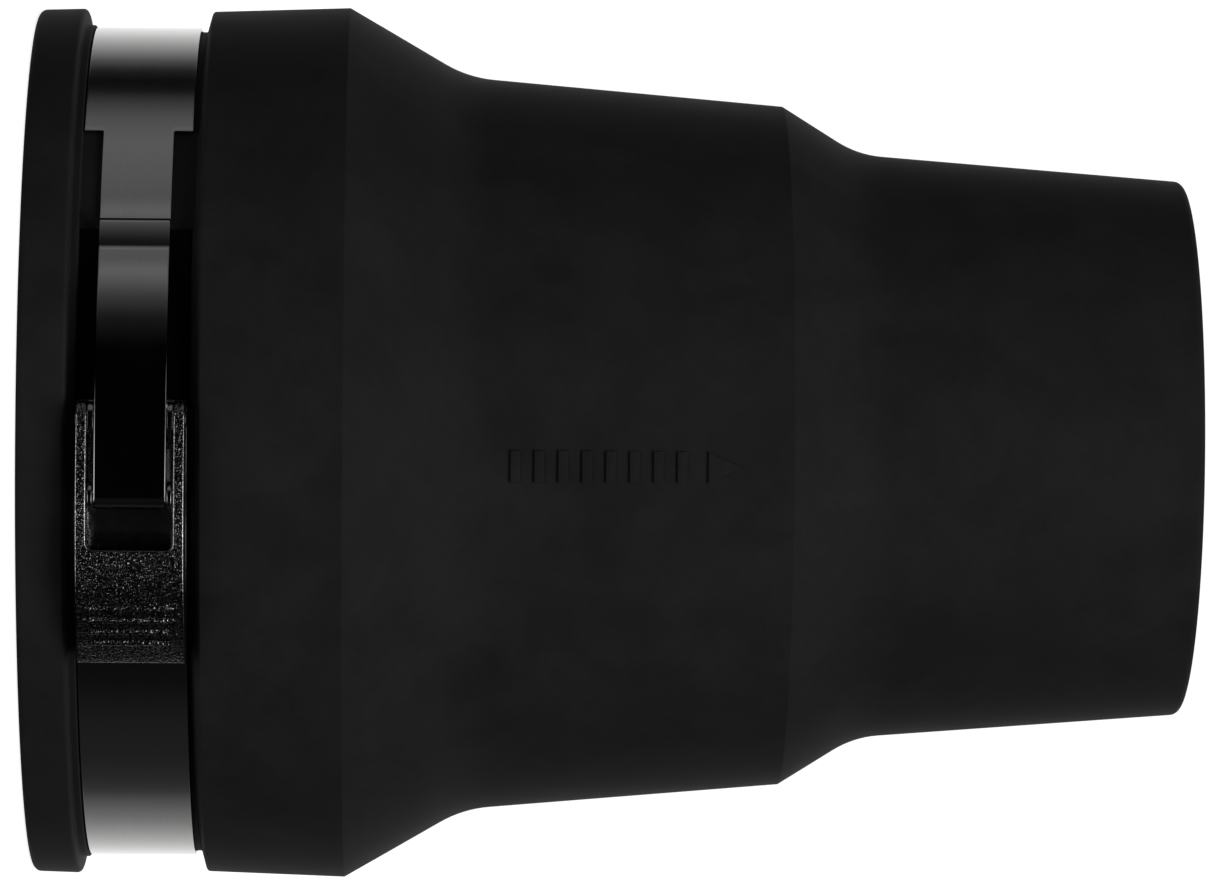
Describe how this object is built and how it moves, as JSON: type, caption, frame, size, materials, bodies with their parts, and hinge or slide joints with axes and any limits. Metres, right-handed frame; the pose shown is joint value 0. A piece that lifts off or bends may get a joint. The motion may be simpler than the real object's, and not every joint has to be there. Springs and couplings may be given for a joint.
{
  "type": "snoot",
  "caption": "Stepped conical rubber snoot for a round studio flash head, clamped on by a steel band with an over-centre draw latch.",
  "frame": {"origin": "centre of the wide rear face, where the flash head goes in, on the axis of the light; the rear face lies in z = 0", "axes": "+Z along the axis to the narrow light exit; the latch is on the -Y side and its lever points towards +X when closed"},
  "size_m": [0.1254, 0.1281, 0.165],
  "materials": {
    "body_rubber": "matte moulded",
    "band_steel": "brushed along the strip",
    "bridge_plastic": "satin black",
    "latch_steel": "stamped, satin",
    "pin_steel": "turned, bright",
    "lever_black": "coarse cast texture under dark plating"
  },
  "bodies": {
    "root": {"snoot_body": "body_rubber", "band_fixed_side": "band_steel", "gap_bridge": "bridge_plastic", "latch_base": "latch_steel", "base_rivets": "latch_steel", "pivot_pin": "pin_steel"},
    "band_free": {"band_free_side": "band_steel"},
    "lever": {"lever": "lever_black", "strap_pin": "pin_steel", "pin_washers": "pin_steel"},
    "strap": {"draw_strap": "band_steel"}
  },
  "joints": [
    {"name": "lever_hinge", "type": "hinge", "parent": "root", "child": "lever", "pos_m": [-0.0032, -0.0622, 0.01575], "axis": [0, 0, -1], "range_deg": [0, 110]},
    {"name": "strap_hinge", "type": "hinge", "parent": "lever", "child": "strap", "pos_m": [0.0075, -0.0632, 0.01575], "axis": [0, 0, -1], "range_deg": [-122, 0]},
    {"name": "band_spring_open", "type": "hinge", "parent": "root", "child": "band_free", "pos_m": [0, 0.05945, 0.01575], "axis": [0, 0, -1], "range_deg": [0, 2.3]}
  ],
  "couplings": [
    {"joint": "strap_hinge", "follows": "lever_hinge", "ratio": -1.1},
    {"joint": "band_spring_open", "follows": "lever_hinge", "ratio": 0.02}
  ]
}
